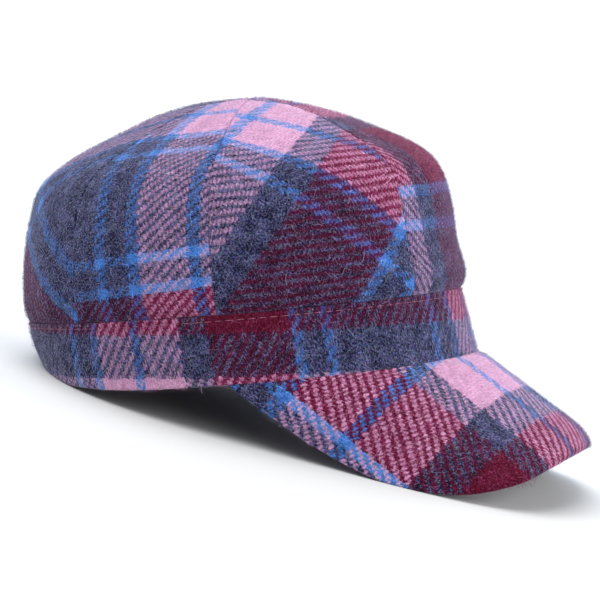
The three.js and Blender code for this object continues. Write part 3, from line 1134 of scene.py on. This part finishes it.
class CAP_OT_nap(bpy.types.Operator):
    """Grow loose fibres on the outside of the cloth."""

    bl_idname = "cap.nap"
    bl_label = "Nap"

    def execute(self, context):
        cloth = context.scene.cap_cloth
        tree = nap_tree()
        material = nap_material(cloth)
        slots = {gore.name: "crown_tweed" for gore in GORES} | {"band": "band_tweed", "peak": "peak_tweed"}
        for number, (name, slot) in enumerate(slots.items()):
            piece = grown(name + "_nap", bpy.data.meshes[name + "_cloth"], tree, {
                "Density": cloth.nap_density,
                "Length": cloth.nap_length,
                "Width": cloth.nap_width,
                "Seed": SEED + number,
                "Material": material,
            })
            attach(piece, "root")
        return {"FINISHED"}


class CAP_OT_stage(bpy.types.Operator):
    """Set up the floor, the lights and the camera."""

    bl_idname = "cap.stage"
    bl_label = "Stage"

    def execute(self, context):
        stage = context.scene.cap_stage
        half = stage.floor_size / 2
        corners = [(-half, -half, 0), (half, -half, 0), (half, half, 0), (-half, half, 0)]
        mesh = bpy.data.meshes.new("floor")
        mesh.from_pydata(corners, [], [(0, 1, 2, 3)])
        mesh.materials.append(plain_material("floor", (stage.floor_tone,) * 3, roughness=0.9))
        floor = linked(bpy.data.objects.new("floor", mesh))
        world = bpy.data.worlds.new("studio")
        world.use_nodes = True
        world.node_tree.nodes["Background"].inputs["Color"].default_value = SKY
        world.node_tree.nodes["Background"].inputs["Strength"].default_value = stage.fill
        context.scene.world = world
        for name, (towards, tint) in LIGHTS.items():
            soft_light(name, getattr(stage, name), towards, tint)
        context.scene.view_settings.view_transform = "Standard"
        context.scene.camera = photo_camera()
        return {"FINISHED"}


def soft_light(name, energy, towards, tint):
    """A wide light from far away."""
    light = bpy.data.lights.new(name, "SUN")
    light.energy = energy
    light.color = tint
    light.angle = LIGHT_SPREAD
    lamp = linked(bpy.data.objects.new(name, light))
    lamp.rotation_euler = Vector(towards).to_track_quat("-Z", "Y").to_euler()


def photo_camera():
    """A camera that sees the cap as the photo does, turned and tipped with the way it lies."""
    data = bpy.data.cameras.new("photo_camera")
    data.lens = data.sensor_width * CAMERA_AWAY * PIXELS_PER_METRE / PHOTO_PIXELS
    camera = linked(bpy.data.objects.new("photo_camera", data))
    lying = Matrix.Translation((0, BOX_SHIFT, REST_LIFT)) @ Matrix.Rotation(-REST_PITCH, 4, "X")
    aimed = Matrix.Translation(CAMERA_TARGET) @ Matrix.Rotation(CAMERA_TURN, 4, "Z")
    aimed = aimed @ Matrix.Rotation(CAMERA_TILT, 4, "X") @ Matrix.Rotation(CAMERA_ROLL, 4, "Z")
    camera.matrix_world = lying @ aimed @ Matrix.Translation((0, 0, CAMERA_AWAY))
    return camera


class CAP_PT_sidebar(bpy.types.Panel):
    """Buttons and sizes of the cap."""

    bl_idname = "CAP_PT_sidebar"
    bl_label = "Cadet cap"
    bl_space_type = "VIEW_3D"
    bl_region_type = "UI"
    bl_category = "Cap"

    def draw(self, context):
        for operator in OPERATORS:
            self.layout.operator(operator.bl_idname)
        for setting, group in GROUPS.items():
            box = self.layout.box()
            for name in group.__annotations__:
                box.prop(getattr(context.scene, setting), name)


GROUPS = {"cap_sewing": CapSewing, "cap_cloth": CapCloth, "cap_stage": CapStage}
OPERATORS = (CAP_OT_crown, CAP_OT_band, CAP_OT_peak, CAP_OT_stitches, CAP_OT_nap, CAP_OT_stage)


def register():
    """Adds the classes and the scene's settings to Blender."""
    for added in (*GROUPS.values(), *OPERATORS, CAP_PT_sidebar):
        bpy.utils.register_class(added)
    for setting, group in GROUPS.items():
        setattr(bpy.types.Scene, setting, bpy.props.PointerProperty(type=group))


def unregister():
    """Takes them away again."""
    for setting in GROUPS:
        delattr(bpy.types.Scene, setting)
    for added in (CAP_PT_sidebar, *OPERATORS, *GROUPS.values()):
        bpy.utils.unregister_class(added)


def main():
    """Builds the cap."""
    register()
    bpy.ops.cap.crown()
    bpy.ops.cap.band()
    bpy.ops.cap.peak()
    bpy.ops.cap.stitches()
    bpy.ops.cap.nap()
    bpy.ops.cap.stage()


if __name__ == "__main__":
    main()
